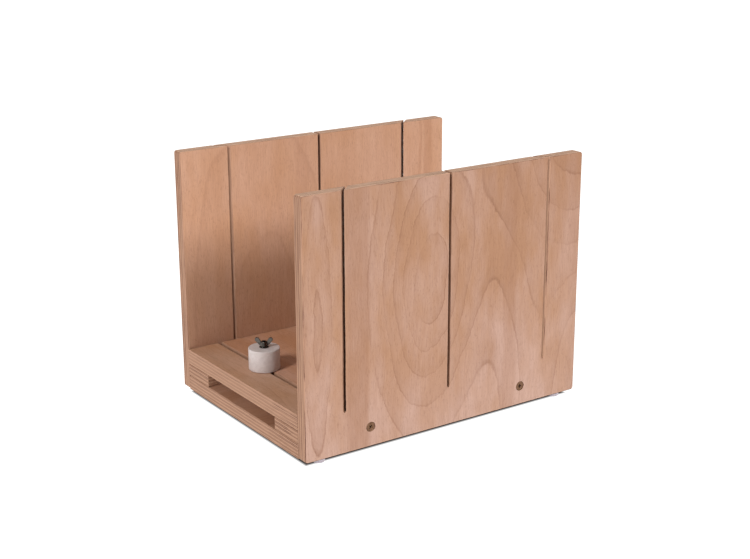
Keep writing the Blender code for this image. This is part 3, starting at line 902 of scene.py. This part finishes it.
def modelWingNut(material):  # cast: soft everywhere but at the bore
    w = wing
    low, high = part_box("wing_nut")[0][2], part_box("wing_nut")[1][2]
    soft = w["soft"]
    outline = [(0, 0)] + arc((w["hubRadius"] - soft, soft), soft, -90, 0, 4)
    outline += arc((w["hubTop"] - soft, w["hubHeight"] - soft), soft, 10, 90, 4) + [(0, w["hubHeight"])]
    nut = turnedPiece("wing_nut_cast", outline, 64)
    tipX = w["span"] / 2 - w["tipRadius"]
    tipZ = high - low - w["tipRadius"]
    for side in (1, -1):
        tip = arc((tipX, tipZ), w["tipRadius"], -52, 152, 14)
        root = [(w["rootX"] + 0.3 * mm, w["hubHeight"] + 0.3 * mm), (w["rootX"], w["hubHeight"] - 0.7 * mm),
                (w["rootX"], 0.5 * mm), (w["hubRadius"], 0.7 * mm)]
        points = [(side * x, -w["thick"] / 2, z) for x, z in tip + root]
        blade = drawnLine("wingBlade", points + points[:1])
        cleanMesh(blade)
        editAll(blade)
        bpy.ops.mesh.edge_face_add()
        bpy.ops.mesh.extrude_region_move(TRANSFORM_OT_translate={"value": (0, w["thick"], 0)})
        cleanMesh(blade)
        worked(nut, blade, "UNION")
    applied(nut, "REMESH", mode="VOXEL", voxel_size=w["grain"])
    applied(nut, "SMOOTH", factor=0.5, iterations=7)
    bore = w["bore"]
    top = w["hubHeight"]
    outline = [(0, -mm), (bore + 0.5 * mm, -0.5 * mm), (bore, 0.2 * mm), (bore, top - 0.3 * mm),
               (bore + 0.6 * mm, top + 0.3 * mm), (0, top + mm)]
    worked(nut, turnedPiece("nutBore", outline, 48))
    turn = Matrix.Rotation(math.radians(w["turn"]), 4, "Z")
    placed(nut, Matrix.Translation((clampAxis.x, clampAxis.y, low)) @ turn)
    return fitted(dressed(smoothed(nut, 40), material), "nut", "bright_zinc", "wing_nut")


zinc = zincWithPaintedShade()
modelStop()
modelWasher("bolt_washer", "clamp", zinc)
modelWasher("nut_washer", "nut_seat", zinc)
modelBolt(zinc)
modelWingNut(zinc)
print("clamp")


# studio: a light table, and two wide suns in place of softboxes, one at the left end and one in front

studio = {
    "cameraPlace": (-0.7412, -1.0738, 0.5190),
    "yaw": 34.51,  # from +Y towards +X
    "pitch": 17.11,  # down
    "roll": -0.18,
    "lens": 67.2,
    "world": 0.27,
    "tableGlow": 1.18,
    "paintedShadowUnder": ((2 * mm, 6.5 * mm), (4 * mm, 9.5 * mm)),  # the glow fades under ends and sides: a painted contact shadow
    "lights": {"leftBox": ((-0.966, -0.26), 35, 2.0, 13), "frontBox": ((0.12, -1.0), 26, 1.95, 16)},
}  # each light: where it stands, its height in degrees, strength, angle of its face


def buildStudio():
    s = studio
    leaveEditMode()
    bpy.ops.object.select_all(action="DESELECT")
    bpy.ops.mesh.primitive_plane_add(size=14, location=(0, 0, -0.0002))
    table = newPiece("lightTable")
    acrylic, tree, shader = newMaterial("opalAcrylic", Base_Color=linear("#4A4A4A"), Roughness=0.9,
                                        Emission_Color=(1, 1, 1, 1))
    place = addNode(tree, "TexCoord", {}, out="Object")  # the glow is masked off under the box: a painted shadow, not one cast by the lights
    place = addNode(tree, "VectorMath", {0: place}, operation="ABSOLUTE")
    parts = addNode(tree, "SeparateXYZ", {0: place}).node.outputs
    low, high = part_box("front_wall")
    fades = []
    for axis, edge in enumerate((high[0], -low[1])):
        start, end = s["paintedShadowUnder"][axis]
        fade = addNode(tree, "MapRange", {0: parts[axis], 1: edge - start, 2: edge - end, 3: s["tableGlow"],
                                          4: 0.0}, interpolation_type="SMOOTHSTEP")
        fades.append(fade)
    light = addNode(tree, "Math", {0: fades[0], 1: fades[1]}, operation="MAXIMUM")
    wired(tree, shader, Emission_Strength=light)
    dressed(table, acrylic)
    world = bpy.data.worlds.new("studio")
    bpy.context.scene.world = world
    world.use_nodes = True
    back = world.node_tree.nodes["Background"]
    back.inputs["Color"].default_value = (1, 1, 1, 1)
    back.inputs["Strength"].default_value = s["world"]
    for name, (side, height, strength, face) in s["lights"].items():
        light = bpy.data.lights.new(name, "SUN")
        light.energy = strength
        light.angle = math.radians(face)
        lamp = bpy.data.objects.new(name, light)
        rise = math.radians(height)
        towards = Vector(side).normalized() * math.cos(rise)
        lamp.rotation_euler = Vector((*towards, math.sin(rise))).to_track_quat("Z", "Y").to_euler()
        lamp.location = Vector((*towards, math.sin(rise))) * 2
        bpy.context.collection.objects.link(lamp)
    camera = bpy.data.objects.new("camera", bpy.data.cameras.new("camera"))
    camera.data.lens = s["lens"]
    camera.location = s["cameraPlace"]
    yaw, pitch = math.radians(s["yaw"]), math.radians(s["pitch"])
    looking = Vector((math.sin(yaw) * math.cos(pitch), math.cos(yaw) * math.cos(pitch), -math.sin(pitch)))
    roll = Matrix.Rotation(math.radians(-s["roll"]), 4, looking)
    camera.rotation_euler = (roll @ looking.to_track_quat("-Z", "Y").to_matrix().to_4x4()).to_euler()
    bpy.context.collection.objects.link(camera)
    bpy.context.scene.camera = camera
    bpy.context.scene.view_settings.view_transform = "Standard"


buildStudio()
print("studio")

leaveEditMode()
bpy.ops.object.select_all(action="DESELECT")
